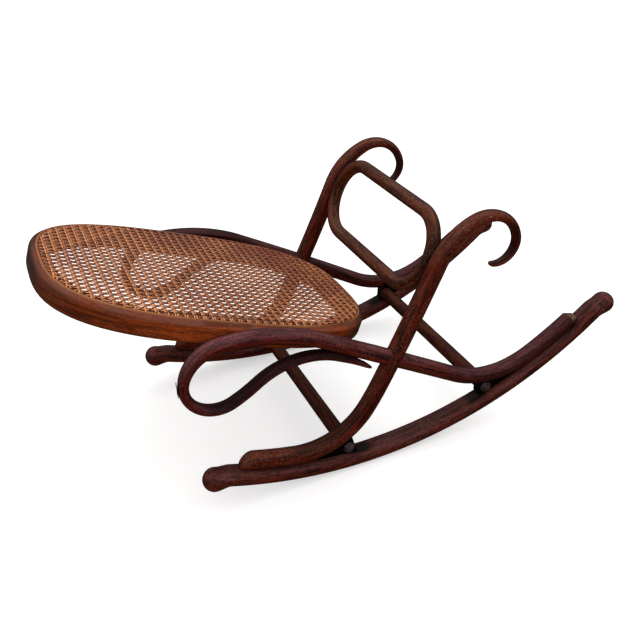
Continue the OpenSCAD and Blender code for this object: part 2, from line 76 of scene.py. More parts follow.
def fill(tree, node, terms):
    """Sets each input of a node from a plain value, or links it to another node's output."""
    for socket, term in terms.items():
        if isinstance(term, bpy.types.NodeSocket):
            tree.links.new(term, node.inputs[socket])
        else:
            node.inputs[socket].default_value = term
    return node


def connect(tree, kind, terms):
    """A new node in a tree, with its inputs filled."""
    return fill(tree, tree.nodes.new(kind), terms)


world = bpy.data.worlds.new("studio")
world.use_nodes = True
sky = world.node_tree
sky.nodes.clear()
sky_rays = connect(sky, "ShaderNodeLightPath", {})
sky_way = connect(sky, "ShaderNodeTexCoord", {})
sky_height = connect(sky, "ShaderNodeSeparateXYZ", {"Vector": sky_way.outputs["Generated"]})
sky_dome = connect(sky, "ShaderNodeMapRange", {
    "Value": sky_height.outputs["Z"], "To Min": horizon_level, "To Max": horizon_level + zenith_gain})
sky_light = connect(sky, "ShaderNodeBackground", {"Color": dome_tint, "Strength": sky_dome.outputs["Result"]})
sky_white = connect(sky, "ShaderNodeBackground", {"Color": (1.0, 1.0, 1.0, 1.0)})
sky_mix = connect(sky, "ShaderNodeMixShader", {
    "Fac": sky_rays.outputs["Is Camera Ray"], 1: sky_light.outputs["Background"],
    2: sky_white.outputs["Background"]})
connect(sky, "ShaderNodeOutputWorld", {"Surface": sky_mix.outputs["Shader"]})
bpy.context.scene.world = world

lamp_data = bpy.data.lights.new("overhead", "AREA")
lamp_data.shape = "DISK"
lamp_data.size = lamp_wide
lamp_data.energy = lamp_power
lamp = bpy.data.objects.new("overhead", lamp_data)
lamp.location = lamp_place
lamp.rotation_euler = (lamp_aim - lamp_place).to_track_quat("-Z", "Y").to_euler()
bpy.context.scene.collection.objects.link(lamp)

floor_mesh = bpy.data.meshes.new("floor")
floor_mesh.from_pydata([(-floor_half, -floor_half, 0.0), (floor_half, -floor_half, 0.0),
                        (floor_half, floor_half, 0.0), (-floor_half, floor_half, 0.0)], [], [(0, 1, 2, 3)])
floor = bpy.data.objects.new("floor", floor_mesh)
bpy.context.scene.collection.objects.link(floor)
floor_paint = bpy.data.materials.new("floor_paint")
floor_paint.use_nodes = True
paving = floor_paint.node_tree
paving.nodes.clear()
floor_rays = connect(paving, "ShaderNodeLightPath", {})
pale = connect(paving, "ShaderNodeBsdfDiffuse", {"Color": floor_pale})
glow = connect(paving, "ShaderNodeEmission", {"Strength": floor_glow})
bright = connect(paving, "ShaderNodeAddShader", {0: pale.outputs["BSDF"], 1: glow.outputs["Emission"]})
dull = connect(paving, "ShaderNodeBsdfDiffuse", {"Color": floor_dull})
floor_mix = connect(paving, "ShaderNodeMixShader", {
    "Fac": floor_rays.outputs["Is Camera Ray"], 1: dull.outputs["BSDF"], 2: bright.outputs["Shader"]})
connect(paving, "ShaderNodeOutputMaterial", {"Surface": floor_mix.outputs["Shader"]})
floor_mesh.materials.append(floor_paint)


# Rockers. Each is one steamed and bent beech rod, planed above and below. Both ends are full round knobs
# that swell below the rod, so that the footstool can't tip past them. Sizes are in millimetres, and at_rest
# gives metres.
rocker_radius = 680.0
rocker_half_angle = 31.6
rocker_wide, rocker_thick, rocker_planed = 37.0, 27.0, 1.0
knob_radius, knob_drop, knob_neck = 18.0, 7.0, 24.0
balance_angle = 9.2
half_spacing = 172.5
contact_radius = rocker_radius - rocker_thick
rod_sides, crease_angle = 40, 38.0
ring_step = 3.0
knob_zone, knob_crowding, knob_least = 30.0, 1.08, 0.02
rocker_rings = 220


def at_rest(points):
    """Turns points about the rockers' centre by the balance angle and sets them on the floor, in metres."""
    b = np.radians(balance_angle)
    x = points[..., 0] * np.cos(b) - points[..., 2] * np.sin(b)
    z = points[..., 0] * np.sin(b) + points[..., 2] * np.cos(b) + rocker_radius
    return np.stack([x, points[..., 1], z], -1) / 1000.0


def new_piece(name, points, faces, unbent):
    """A smooth mesh object of points and faces.

    unbent holds, for each point, its place in the rod before bending: along, across and up, in metres. Each
    piece adds a number of its own to the way along, so that no two show the same grain.
    """
    mesh = bpy.data.meshes.new(name)
    mesh.from_pydata(points.reshape(-1, 3).tolist(), [], faces)
    place = mesh.attributes.new("unbent", "FLOAT_VECTOR", "POINT")
    place.data.foreach_set("vector", np.ascontiguousarray(unbent, dtype=np.float32).ravel())
    mesh.shade_smooth()
    made = bpy.data.objects.new(name, mesh)
    bpy.context.scene.collection.objects.link(made)
    return made


def surface(name, grid, unbent, wrap=(False, True), caps=True, stain_and_shade=None):
    """Joins a grid of points, rows by columns, into a smooth mesh of quads.

    Wrapped directions close on themselves, and caps close the first and the last row with one face each.
    Its last argument holds how black each point is, from 0 to 1, with old polish and with painted shade.
    """
    rows, columns = grid.shape[:2]
    i = np.arange(rows if wrap[0] else rows - 1)[:, None]
    j = np.arange(columns if wrap[1] else columns - 1)[None, :]
    up, over = (i + 1) % rows, (j + 1) % columns
    quads = np.stack([i * columns + j, i * columns + over, up * columns + over, up * columns + j], -1)
    faces = quads.reshape(-1, 4).tolist()
    if caps:
        faces += [list(range(columns))[::-1], list(range((rows - 1) * columns, rows * columns))]
    made = new_piece(name, grid, faces, unbent)
    if stain_and_shade is not None:
        soot_and_shade = made.data.attributes.new("stain_and_shade", "FLOAT", "POINT")
        soot_and_shade.data.foreach_set("value", np.ascontiguousarray(stain_and_shade, dtype=np.float32).ravel())
    made.data.set_sharp_from_angle(angle=np.radians(crease_angle))
    return made


def mirrored(grid):
    """The same grid on the other side of the footstool, with its columns turned round to face outwards."""
    return grid[:, ::-1] * np.array([1.0, -1.0, 1.0])


def linear(hex_colour):
    """Linear red, green and blue of a colour written in hexadecimal."""
    value = np.array([int(hex_colour[k:k + 2], 16) for k in (1, 3, 5)]) / 255.0
    value = np.where(value <= 0.04045, value / 12.92, ((value + 0.055) / 1.055) ** 2.4)
    return (*value.tolist(), 1.0)


# Of the two blacks, the first is laid on for old polish and for painted shade, the second for painted shade
# where a surface turns away.
fleck_grey, polish_and_shade_black, rim_shade_black = linear("#a18478"), linear("#0b0504"), linear("#080302")


def noise(tree, place, stretch, detail, shift=0.0, rough=0.55):
    """Noise on a place stretched by one scale for each direction, from a patch of its own."""
    mapping = connect(tree, "ShaderNodeMapping", {
        "Vector": place, "Scale": stretch, "Location": (shift, shift * 0.7, shift * 1.3)})
    cloud = connect(tree, "ShaderNodeTexNoise", {
        "Vector": mapping.outputs["Vector"], "Scale": 1.0, "Detail": detail, "Roughness": rough})
    return cloud.outputs["Fac"]


def ramp(tree, value, low, high, to_low=0.0, to_high=1.0, kind="SMOOTHSTEP"):
    """Goes from one number to another, and stays there, as the value goes from low to high."""
    node = connect(tree, "ShaderNodeMapRange", {
        "Value": value, "From Min": low, "From Max": high, "To Min": to_low, "To Max": to_high})
    node.interpolation_type = kind
    return node.outputs["Result"]


def math(tree, kind, one, other=0.0):
    """One step of arithmetic on two terms."""
    node = connect(tree, "ShaderNodeMath", {0: one, 1: other})
    node.operation = kind
    return node.outputs["Value"]


def mix(tree, share, one, other):
    """One colour, with a share of another laid over it."""
    node = tree.nodes.new("ShaderNodeMix")
    node.data_type = "RGBA"
    return fill(tree, node, {0: share, 6: one, 7: other}).outputs[2]


def raised(tree, height, strength, distance):
    """The normal of a surface that stands up by a height, of so many metres at most."""
    return connect(tree, "ShaderNodeBump", {
        "Height": height, "Strength": strength, "Distance": distance}).outputs["Normal"]


def bentwood_group():
    """Old varnished beech: grain along the rod, painted grey sheen on top, painted warm bounce light below,
    pale flecks and dents.
    """
    tree = bpy.data.node_groups.new("varnished_bentwood", "ShaderNodeTree")
    for way, kind, sockets in (("INPUT", "Vector", ("Place",)),
                               ("INPUT", "Color", ("Deep", "Warm", "Painted Sheen", "Bounce Colour")),
                               ("INPUT", "Float", ("Painted Sheen Share", "Fleck Share", "Stain And Shade")),
                               ("OUTPUT", "Color", ("Color",)),
                               ("OUTPUT", "Float", ("Roughness", "Height"))):
        for socket in sockets:
            tree.interface.new_socket(socket, in_out=way, socket_type="NodeSocket" + kind)
    given = tree.nodes.new("NodeGroupInput").outputs
    place = given["Place"]
    grain = noise(tree, place, (16.0, 230.0, 230.0), 6.0)
    pores = noise(tree, place, (90.0, 700.0, 700.0), 3.0, 3.0)
    patches = noise(tree, place, (7.0, 26.0, 26.0), 3.0, 9.0)
    smears = noise(tree, place, (22.0, 60.0, 60.0), 5.0, 17.0)
    specks = noise(tree, place, (420.0, 900.0, 900.0), 2.0, 5.0)
    crackle = noise(tree, place, (380.0, 620.0, 620.0), 3.0, 21.0, 0.7)
    dents = noise(tree, place, (60.0, 90.0, 90.0), 4.0, 13.0)
    tone = math(tree, "ADD", math(tree, "MULTIPLY", grain, 0.6), math(tree, "MULTIPLY", pores, 0.4))
    tone = ramp(tree, tone, 0.4, 0.6)
    colour = mix(tree, tone, given["Deep"], given["Warm"])
    normal = connect(tree, "ShaderNodeNewGeometry", {}).outputs["Normal"]
    upward = connect(tree, "ShaderNodeSeparateXYZ", {"Vector": normal}).outputs["Z"]
    grained = ramp(tree, tone, 0.0, 1.0, 0.55, 1.0)
    # Painted bounce light: faces turned down get the warmer bounce colour, in patches.
    bounce_below = math(tree, "MULTIPLY", ramp(tree, upward, 0.15, -0.75), ramp(tree, patches, 0.3, 0.62, 0.25, 0.9))
    colour = mix(tree, math(tree, "MULTIPLY", bounce_below, grained), colour, given["Bounce Colour"])
    # Painted sheen: faces turned up get the grey sheen colour, in smears, as a reflection of the sky.
    sheen_on_top = math(tree, "MULTIPLY", ramp(tree, upward, 0.0, 0.85), ramp(tree, smears, 0.32, 0.62, 0.3, 1.0))
    sheen_on_top = math(tree, "MULTIPLY", sheen_on_top, grained)
    colour = mix(tree, math(tree, "MULTIPLY", sheen_on_top, given["Painted Sheen Share"]), colour, given["Painted Sheen"])
    crazed = math(tree, "MULTIPLY", ramp(tree, crackle, 0.38, 0.6), 0.5)
    colour = mix(tree, crazed, colour, given["Deep"])
    fleck = math(tree, "MULTIPLY", ramp(tree, specks, 0.6, 0.7), ramp(tree, patches, 0.38, 0.6))
    fleck = math(tree, "MULTIPLY", fleck, given["Fleck Share"])
    colour = mix(tree, fleck, colour, fleck_grey)
    # The stain input lays black on, for old polish and for painted shade.
    soot_and_shade = math(tree, "MULTIPLY", given["Stain And Shade"], ramp(tree, grain, 0.25, 0.6, 1.0, 0.8))
    gloss = math(tree, "ADD", ramp(tree, smears, 0.3, 0.7, 0.42, 0.62), math(tree, "MULTIPLY", fleck, 0.3))
    height = math(tree, "ADD", math(tree, "MULTIPLY", grain, 0.5), math(tree, "MULTIPLY", dents, 0.5))
    height = math(tree, "SUBTRACT", height, math(tree, "MULTIPLY", fleck, 0.3))
    colour = mix(tree, soot_and_shade, colour, polish_and_shade_black)
    connect(tree, "NodeGroupOutput", {"Color": colour, "Roughness": gloss, "Height": height})
    return tree


bentwood = bentwood_group()


def wood_finish(name, deep, warm, painted_sheen, bounce_colour, painted_sheen_share=0.8, fleck_share=0.55, from_attribute=True,
                coat=0.04):
    """One wood material: the bentwood group with its own colours, under a thin worn varnish, with painted
    shade that takes it toward black where the surface turns away."""
    paint = bpy.data.materials.new(name)
    paint.use_nodes = True
    tree = paint.node_tree
    group = tree.nodes.new("ShaderNodeGroup")
    group.node_tree = bentwood
    fill(tree, group, {"Deep": linear(deep), "Warm": linear(warm), "Painted Sheen": linear(painted_sheen),
                       "Bounce Colour": linear(bounce_colour), "Painted Sheen Share": painted_sheen_share, "Fleck Share": fleck_share})
    if from_attribute:
        for attribute, output, socket in (("unbent", "Vector", "Place"), ("stain_and_shade", "Fac", "Stain And Shade")):
            kept = tree.nodes.new("ShaderNodeAttribute")
            kept.attribute_name = attribute
            fill(tree, group, {socket: kept.outputs[output]})
    else:
        fill(tree, group, {"Place": connect(tree, "ShaderNodeTexCoord", {}).outputs["Object"]})
    # Painted shade: toward black where the surface turns away from the view.
    facing = connect(tree, "ShaderNodeLayerWeight", {"Blend": 0.5}).outputs["Facing"]
    turned_away_shade = ramp(tree, facing, 0.36, 0.95, 0.0, 0.92)
    fill(tree, tree.nodes["Principled BSDF"], {
        "Coat Weight": coat, "Coat Roughness": 0.22, "Specular IOR Level": 0.05,
        "Base Color": mix(tree, turned_away_shade, group.outputs["Color"], rim_shade_black),
        "Roughness": group.outputs["Roughness"],
        "Normal": raised(tree, group.outputs["Height"], 0.35, 0.0012)})
    return paint


rocker_wood = wood_finish("rocker_wood", "#140403", "#742a1a", "#784c4a", "#a84a18", painted_sheen_share=0.65)


def between(value, low, high):
    """0 below low, 1 above high and a smooth step between them; it falls where low is the greater."""
    share = np.clip((value - low) / (high - low), 0, 1)
    return share * share * (3 - 2 * share)


def quarter_round(share):
    """From 0 to 1 along a quarter circle: the root of one less the square of the way that is left."""
    return np.sqrt(np.clip(1 - (1 - np.clip(share, 0, 1)) ** 2, 0, 1))


def rocker_grid():
    """Planed oval sections along the arc. Toward each end the section becomes a circle that sits lower, and
    closes as a ball along a quarter circle. The rings lie close together in the knobs."""
    half = rocker_radius * np.radians(rocker_half_angle) + knob_radius
    d = np.linspace(0.0, 1.0, int(2 * half / ring_step))
    d = half * np.sin(np.clip((2 * d - 1) * knob_crowding, -1, 1) * np.pi / 2)
    rod = np.linspace(knob_zone - half, half - knob_zone, rocker_rings)
    d = np.unique(np.concatenate([d[np.abs(d) > half - knob_zone], rod]))[:, None]
    end = half - np.abs(d)
    swell = between(end, knob_radius + knob_neck, knob_radius)
    ball = np.maximum(quarter_round(end / knob_radius), knob_least)
    t = 2 * np.pi * (np.arange(rod_sides) + 0.5) / rod_sides
    across = rocker_wide / 2 * np.cos(t) * ball
    flat = np.clip((rocker_thick / 2 + rocker_planed) * np.sin(t), -rocker_thick / 2, rocker_thick / 2)
    high = flat * (1 - swell) + (knob_radius * np.sin(t) - knob_drop) * swell
    centre = -knob_drop * swell
    high = centre + (high - centre) * ball
    angle = d / rocker_radius - np.pi / 2
    r = rocker_radius - rocker_thick / 2 - high
    grid = np.stack([r * np.cos(angle), half_spacing + across, r * np.sin(angle)], -1)
    unbent = np.stack([np.broadcast_to(d, high.shape), across, high], -1) / 1000.0
    return grid[:, ::-1], unbent[:, ::-1]


plug_place, plug_core, plug_reach = np.array([367.0, 11.9, 6.8]), 1.6, 5.6
# Painted shade with black polish on the rockers' tops, darkest in the forks inward of the bolts.
top_shade_and_polish, top_from, top_full = 0.45, 8.0, 13.0
bolt_shade_and_polish, bolt_inward, bolt_reach, bolt_core = 1.15, 22.0, 34.0, 8.0


def rocker_polish_and_shade(unbent):
    """Painted shade with black polish on a rocker's top, darkest inward of each bolt, and a dark plug in the
    outer side of its rear end. All are smooth steps, in millimetres, of the place in the straight rod."""
    place = unbent * 1000
    top = between(place[..., 2], top_from, top_full)
    soot_and_shade = top_shade_and_polish * top
    for bolts in ("front_bolts", "rear_bolts"):
        middle = np.mean(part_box(bolts), 0) * 1000.0
        at = rocker_radius * (np.arctan2(middle[0], rocker_radius - middle[2]) - np.radians(balance_angle))
        at = at - bolt_inward * np.sign(at)
        near = between(np.abs(place[..., 0] - at), bolt_reach, bolt_core)
        soot_and_shade = np.maximum(soot_and_shade, bolt_shade_and_polish * top * near)
    away = np.linalg.norm(place - plug_place, axis=-1)
    return np.maximum(soot_and_shade, between(away, plug_reach, plug_core))


rocker, rocker_unbent = rocker_grid()
rocker_stain_and_shade = rocker_polish_and_shade(rocker_unbent)
right_grain = np.array([4.0, 0.0, 0.0])
for side, grid, unbent, soot_and_shade in (
        ("left", rocker, rocker_unbent, rocker_stain_and_shade),
        ("right", mirrored(rocker), rocker_unbent[:, ::-1] + right_grain, rocker_stain_and_shade[:, ::-1])):
    piece = surface("rocker_wood_" + side, at_rest(grid), unbent, stain_and_shade=soot_and_shade)
    piece.data.materials.append(rocker_wood)
    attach(piece, "root")
    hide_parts("rocker_" + side)


# Upright scrolls. One beech rod each: a foot on the rocker, a tight bend, a straight leg and a hook that is
# shaved thin toward its end. The foot is planed to the rocker and screwed from below.
upright_wide, upright_foot_thick, upright_thick = 27.0, 31.0, 28.0
upright_start = 28.7
upright_planed, upright_side_planed = 3.0, 1.0
upright_nose, hook_point, upright_joint = 18.0, 7.0, 316.4
nose_least, nose_narrow, hook_least = 0.06, 0.35, 0.15
upright_radius = contact_radius - upright_foot_thick / 2 + upright_planed
upright_steps = [[85.6, np.degrees(85.6 / upright_radius)], [140, 68], [40, 6], [206.5, 3.5],
                 [84, -44], [95, -97], [71, -128]]
upright_sizes = [[0, upright_wide, upright_foot_thick], [85.6, upright_wide, upright_foot_thick],
                 [225.6, upright_wide, upright_thick], [472, upright_wide, upright_thick],
                 [507, 26.4, 26], [594, 24, 16.5], [722, 14, 7.5]]
upright_inner = half_spacing - upright_wide / 2 + upright_side_planed
joint_zone, joint_rings, end_rings = 30.0, 76, 12


def walk(start, heading, steps, d):
    """Rows of x, z and heading at distances d along circular arcs, each [length, turn in degrees]."""
    lengths, turns = np.array(steps, float).T
    turns = np.radians(turns)
    bend = np.where(np.abs(turns) < 1e-9, 1e-9, turns) / lengths
    ends = np.cumsum(lengths)
    headings = np.radians(heading) + np.cumsum(turns) - turns

    def arc(h, c, s):
        """The way from the start of an arc of heading h and curvature c, after a distance s along it."""
        return np.stack([(np.sin(h + c * s) - np.sin(h)) / c, -(np.cos(h + c * s) - np.cos(h)) / c], -1)

    moves = arc(headings, bend, lengths)
    corners = np.array(start) + np.cumsum(moves, 0) - moves
    k = np.clip(np.searchsorted(ends, d), 0, len(steps) - 1)
    s = d - (ends - lengths)[k]
    spots = corners[k] + arc(headings[k], bend[k], s)
    return np.column_stack([spots, headings[k] + bend[k] * s])


def stations(total, nose, point, joint):
    """Distances along a rod, one ring step apart, but closer in its rounded ends and at the joint."""
    ease = 1 - np.cos(np.linspace(0, np.pi / 2, end_rings))
    middle = np.linspace(nose, total - point, int((total - nose - point) / ring_step))
    close = joint + np.linspace(-joint_zone, joint_zone, joint_rings)
    middle = np.concatenate([middle[np.abs(middle - joint) > joint_zone], close])
    return np.concatenate([nose * ease[:-1], np.sort(middle), total - point * ease[::-1][1:]])


def planed_rod(line, d, wide, thick, lift, inner):
    """Oval sections square to a line, cut flat by the rocker below and by the plane of the inner side.

    A point nearer the floor than the rocker's top is drawn back to it along the arc's radius.
    """
    t = 2 * np.pi * (np.arange(rod_sides) + 0.5) / rod_sides
    across = wide[:, None] * np.cos(t)
    high = thick[:, None] * np.sin(t) + lift[:, None]
    x = line[:, 0:1] - np.sin(line[:, 2:3]) * high
    z = line[:, 1:2] + np.cos(line[:, 2:3]) * high
    keep = np.minimum(1.0, contact_radius / np.hypot(x, z))
    y = np.maximum(half_spacing + across, inner)
    grid = np.stack([x * keep, y, z * keep], -1)
    along = np.broadcast_to(d[:, None], across.shape)
    return grid, np.stack([along, across, high], -1) / 1000.0


upright_down = np.radians(-90 - upright_start)
upright_from = upright_radius * np.array([np.cos(upright_down), np.sin(upright_down)])
upright_all = sum(step[0] for step in upright_steps)


def upright_line(d):
    """The upright scroll's middle line at distances d from the foot's end."""
    return walk(upright_from, -upright_start, upright_steps, d)


def rod_sizes(d, marks):
    """Half width and half thickness at distances d, by straight lines between rows of [distance, width,
    thickness]."""
    at, wide, thick = np.array(marks, float).T
    return np.interp(d, at, wide) / 2, np.interp(d, at, thick) / 2


def blunt(share, least):
    """From the least to 1 as the share goes from 0 to 1, so that an end doesn't close to a needle's point."""
    return least + (1 - least) * share


upright_run = stations(upright_all, upright_nose, hook_point, upright_joint)
wide, thick = rod_sizes(upright_run, upright_sizes)
nose = blunt(quarter_round(upright_run / upright_nose), nose_least)
point = blunt(quarter_round((upright_all - upright_run) / hook_point), hook_least)
upright_middle = upright_line(upright_run)
upright_grid, upright_unbent = planed_rod(
    upright_middle, upright_run, wide * blunt(nose, nose_narrow) * point, thick * nose * point,
    -(1 - nose) * (thick - upright_planed), upright_inner)


# Seat scrolls. One beech rod each: a foot on the rocker, a rise, a crest that carries the seat ring, a loop
# and a thin tail. Its end on the rocker is sawn square, and the tail is whittled to a point.
scroll_wide, scroll_foot_thick, scroll_joint_thick = 26.0, 28.0, 25.0
scroll_start = 27.0
scroll_planed, scroll_side_planed = 3.0, 1.0
scroll_nose, tail_point, scroll_joint = 10.0, 16.0, 384.0
sawn_least, tail_least = 0.58, 0.08
scroll_radius = contact_radius - scroll_foot_thick / 2 + scroll_planed
scroll_steps = [[95.5, -np.degrees(95.5 / scroll_radius)], [157, -58.4], [263, 1], [152, 30.5],
                [78, 75.5], [104, 128], [42, 10.7], [134, -65], [65, -10]]
scroll_sizes = [[0, scroll_wide, scroll_foot_thick], [95, scroll_wide, scroll_foot_thick],
                [252, scroll_wide, scroll_joint_thick], [423, scroll_wide, scroll_joint_thick],
                [515, 26, 23], [667, 26, 23], [745, 23, 15], [1025, 23, 13.5], [1090, 10, 6]]
ring_half_wide = half_spacing - scroll_wide / 2 + scroll_side_planed
scroll_down = np.radians(-90 + scroll_start)
scroll_from = scroll_radius * np.array([np.cos(scroll_down), np.sin(scroll_down)])
scroll_all = sum(step[0] for step in scroll_steps)


def scroll_line(d):
    """The seat scroll's middle line at distances d from the foot's end."""
    return walk(scroll_from, 180 + scroll_start, scroll_steps, d)


scroll_run = stations(scroll_all, scroll_nose, tail_point, scroll_joint)
wide, thick = rod_sizes(scroll_run, scroll_sizes)
sawn = blunt(np.clip(scroll_run / scroll_nose, 0, 1), sawn_least)
tip = blunt(quarter_round((scroll_all - scroll_run) / tail_point), tail_least)
scroll_middle = scroll_line(scroll_run)
scroll_grid, scroll_unbent = planed_rod(scroll_middle, scroll_run, wide * sawn * tip, thick * sawn * tip,
                                        (1 - sawn) * (thick - scroll_planed), ring_half_wide)

# The two rods cross in a halved joint: the upright keeps its outer half, the seat scroll its inner half.
apart = np.hypot(*(upright_middle[:, None, :2] - scroll_middle[None, :, :2]).transpose(2, 0, 1))
upright_at, scroll_at = np.unravel_index(np.argmin(apart), apart.shape)
crossing = upright_middle[upright_at]
halving_zone, halving_play = 60.0, 0.9


def halved(grid, heading, wide, high, outer):
    """Inside the other rod's oval at the crossing, draws a rod's inner or outer half back to the middle
    plane."""
    x, y, z = grid[..., 0] - crossing[0], grid[..., 1], grid[..., 2] - crossing[1]
    off = z * np.cos(heading) - x * np.sin(heading)
    reach = high / 2 * np.sqrt(np.clip(1 - ((y - half_spacing) * 2 / wide) ** 2, 0, 1)) - halving_play
    near = (np.abs(off) < reach) & (np.hypot(x, z) < halving_zone)
    cut = np.maximum(y, half_spacing) if outer else np.minimum(y, half_spacing)
    return np.stack([grid[..., 0], np.where(near, cut, y), grid[..., 2]], -1)


upright_grid = halved(upright_grid, scroll_middle[scroll_at, 2], scroll_wide, scroll_joint_thick, True)
scroll_grid = halved(scroll_grid, crossing[2], upright_wide, upright_thick, False)


def band(value, start, full, fade, gone):
    """1 from full to fade, with a smooth step up from start and a smooth step down to gone."""
    return between(value, start, full) * between(value, gone, fade)


# The seat casts a painted black shadow on the inner side of the tail, and the hook's curl has painted shade
# inside. The upright is darker inside the foot's bend, and the seat scroll toward its foot. The far seat
# scroll has painted shade along its foot and round its loop. Places are millimetres along and over each rod.
along, high = scroll_unbent[..., 0] * 1000, scroll_unbent[..., 2] * 1000
# Painted shadow of the seat on the tail's inner side.
tail_painted_shadow = 0.97 * band(along, 770, 830, 1030, 1085) * between(high, -1.0, 3.5)
scroll_darkening = tail_painted_shadow + 0.45 * between(along, 340, 220)
# Painted shade on the far seat scroll.
far_painted_shade = 0.55 * between(along, 520, 380) + 0.8 * band(along, 430, 520, 700, 760)
far_scroll_darkening = np.maximum(scroll_darkening, far_painted_shade)
along, high = upright_unbent[..., 0] * 1000, upright_unbent[..., 2] * 1000
bend_black = 0.75 * band(along, 60, 110, 190, 260) * between(high, 6.0, 11.0)
# Painted shade inside the hook's curl.
hook_painted_shade = 0.85 * between(along, 560, 640) * between(high, 0.0, -3.5)
upright_darkening = bend_black + hook_painted_shade
upright_wood = wood_finish("upright_wood", "#180402", "#72210d", "#8e5a46", "#b4480e", painted_sheen_share=0.5,
                           fleck_share=0.65)
scroll_wood = wood_finish("scroll_wood", "#140506", "#742218", "#825258", "#a03812", painted_sheen_share=0.8)
end_grain = wood_finish("end_grain", "#5c4636", "#8a7058", "#8a7866", "#5a4030", fleck_share=0.3, coat=0.0)
mirror_grain = 2.3


def both_scrolls(name, grid, unbent, near_darkening, far_darkening, paint, grain_start):
    """Makes a rod and its mirror image, each with its own stretch of grain."""
    made = []
    for side, points, place, soot_and_shade, start in (
            ("left", grid, unbent, far_darkening, grain_start),
            ("right", mirrored(grid), unbent[:, ::-1], near_darkening[:, ::-1], grain_start + mirror_grain)):
        place = place + np.array([start, 0.0, 0.0])
        piece = surface(name + "_wood_" + side, at_rest(points), place, stain_and_shade=soot_and_shade)
        piece.data.materials.append(paint)
        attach(piece, "root")
        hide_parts(name + "_" + side)
        made.append(piece)
    return made


both_scrolls("upright_scroll", upright_grid, upright_unbent, upright_darkening, upright_darkening, upright_wood, 7.0)
seat_scrolls = both_scrolls("seat_scroll", scroll_grid, scroll_unbent, scroll_darkening, far_scroll_darkening,
                            scroll_wood, 12.0)

# The sawn end shows its pale grain on the lower side of its first rings.
sawn_rings, bevel_below = 10, -0.25
for piece in seat_scrolls:
    piece.data.materials.append(end_grain)
    sawn_faces = np.zeros(len(piece.data.polygons), np.int32)
    bevel = np.sin(2 * np.pi * (np.arange(rod_sides) + 1) / rod_sides) < bevel_below
    bevel = bevel if piece.name.endswith("left") else np.roll(bevel[::-1], -1)
    sawn_faces[:rod_sides * sawn_rings] = np.tile(bevel, sawn_rings)
    piece.data.polygons.foreach_set("material_index", sawn_faces)


# Splinter. A sliver of the near seat scroll's beech that has lifted off the outer side of its loop, where
# the bend has begun to split. Its broad end is still part of the rod.
splinter_back, splinter_bend, splinter_ahead, splinter_taper = 16.0, 6.0, 5.0, 18.0
splinter_wide, splinter_thick, splinter_aside = 3.2, 0.55, 2.0
splinter_rest, splinter_rise = 8.5, 2.6
splinter_rings, splinter_sides = 12, 8
scroll_x = at_rest(np.column_stack([scroll_middle[:, 0], scroll_run, scroll_middle[:, 1]]))[:, 0]
loop_end = scroll_run[np.argmin(scroll_x)]
run = np.linspace(loop_end - splinter_back, loop_end + splinter_ahead, splinter_rings)
spots = scroll_line(run)
lifted = splinter_rest + splinter_rise * between(run, loop_end - splinter_bend, loop_end - splinter_back)
width = splinter_wide * np.sqrt(np.clip((run - run[0]) / splinter_taper, 0.02, 1))
t = 2 * np.pi * np.arange(splinter_sides) / splinter_sides
off = lifted[:, None] + splinter_thick * np.sin(t)
x = spots[:, 0:1] + np.sin(spots[:, 2:3]) * off
z = spots[:, 1:2] - np.cos(spots[:, 2:3]) * off
y = -(half_spacing + splinter_aside) + width[:, None] * np.cos(t)
splinter = surface("splinter", at_rest(np.stack([x, y, z], -1)),
                   np.stack([np.broadcast_to(run[:, None], x.shape), y, off], -1) / 1000.0)
splinter.data.materials.append(upright_wood)
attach(splinter, "root")


# Wedges. Four beech blocks, painted near black as the shade in the forks. They fill the forks between the
# scrolls' feet and the rockers, are shaped to both, and are held by the bolts that go through them.
# Painted shade: the wedges are near black all over.
wedge_painted_shade = wood_finish("wedge_painted_shade", "#010000", "#040101", "#030101", "#020101", painted_sheen_share=0.2,
                         fleck_share=0.0, from_attribute=False, coat=0.0)


def dress(names, paint):
    """Gives CAD nodes one material."""
    for name in names:
        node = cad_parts[name]
        node.data.materials.clear()
        node.data.materials.append(paint)


dress(["front_wedge_left", "front_wedge_right", "rear_wedge_left", "rear_wedge_right"], wedge_painted_shade)


# Stretchers. Two turned beech rods, a little out of round. They reach from the wedges of one side to those
# of the other, and a bolt holds each end.
stretcher_radius = 0.012
out_of_round, worn_waves = 0.012, 31.0
stretcher_rings, stretcher_sides = 90, 36
bar_wood = wood_finish("bar_wood", "#120402", "#5e2712", "#502218", "#521c0a", painted_sheen_share=0.5,
                       fleck_share=0.3)
for name, grain_start in (("front_stretcher", 20.0), ("rear_stretcher", 23.0)):
    low, high = (np.array(corner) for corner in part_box(name))
    middle, reach = (low + high) / 2, (high - low)[1] / 2
    run = np.linspace(-reach, reach, stretcher_rings)
    t = 2 * np.pi * np.arange(stretcher_sides) / stretcher_sides

    # A circle drawn in by a sine along the rod times a cosine of twice the angle round it.
    waves = np.sin(run[:, None] * worn_waves + grain_start) * np.cos(2 * t + grain_start)
    worn = 1 + out_of_round * (waves - 1)
    x = stretcher_radius * np.cos(t) * worn
    z = stretcher_radius * np.sin(t) * worn
    y = np.broadcast_to(run[:, None], x.shape)
    grid = np.stack([middle[0] + x, middle[1] + y, middle[2] + z], -1)
    piece = surface(name + "_wood", grid[:, ::-1], np.stack([y + grain_start, x, z], -1)[:, ::-1])
    piece.data.materials.append(bar_wood)
    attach(piece, "root")
    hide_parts(name)


# Bolts and screws. Forged iron with a dull grey skin, rusted in patches. The domed bolts draw the wedges onto
# the stretchers, and the screws hold the feet, the crossings, the hoop and the ring.
rust_brown, rubbed_grey = linear("#221617"), linear("#604c4e")


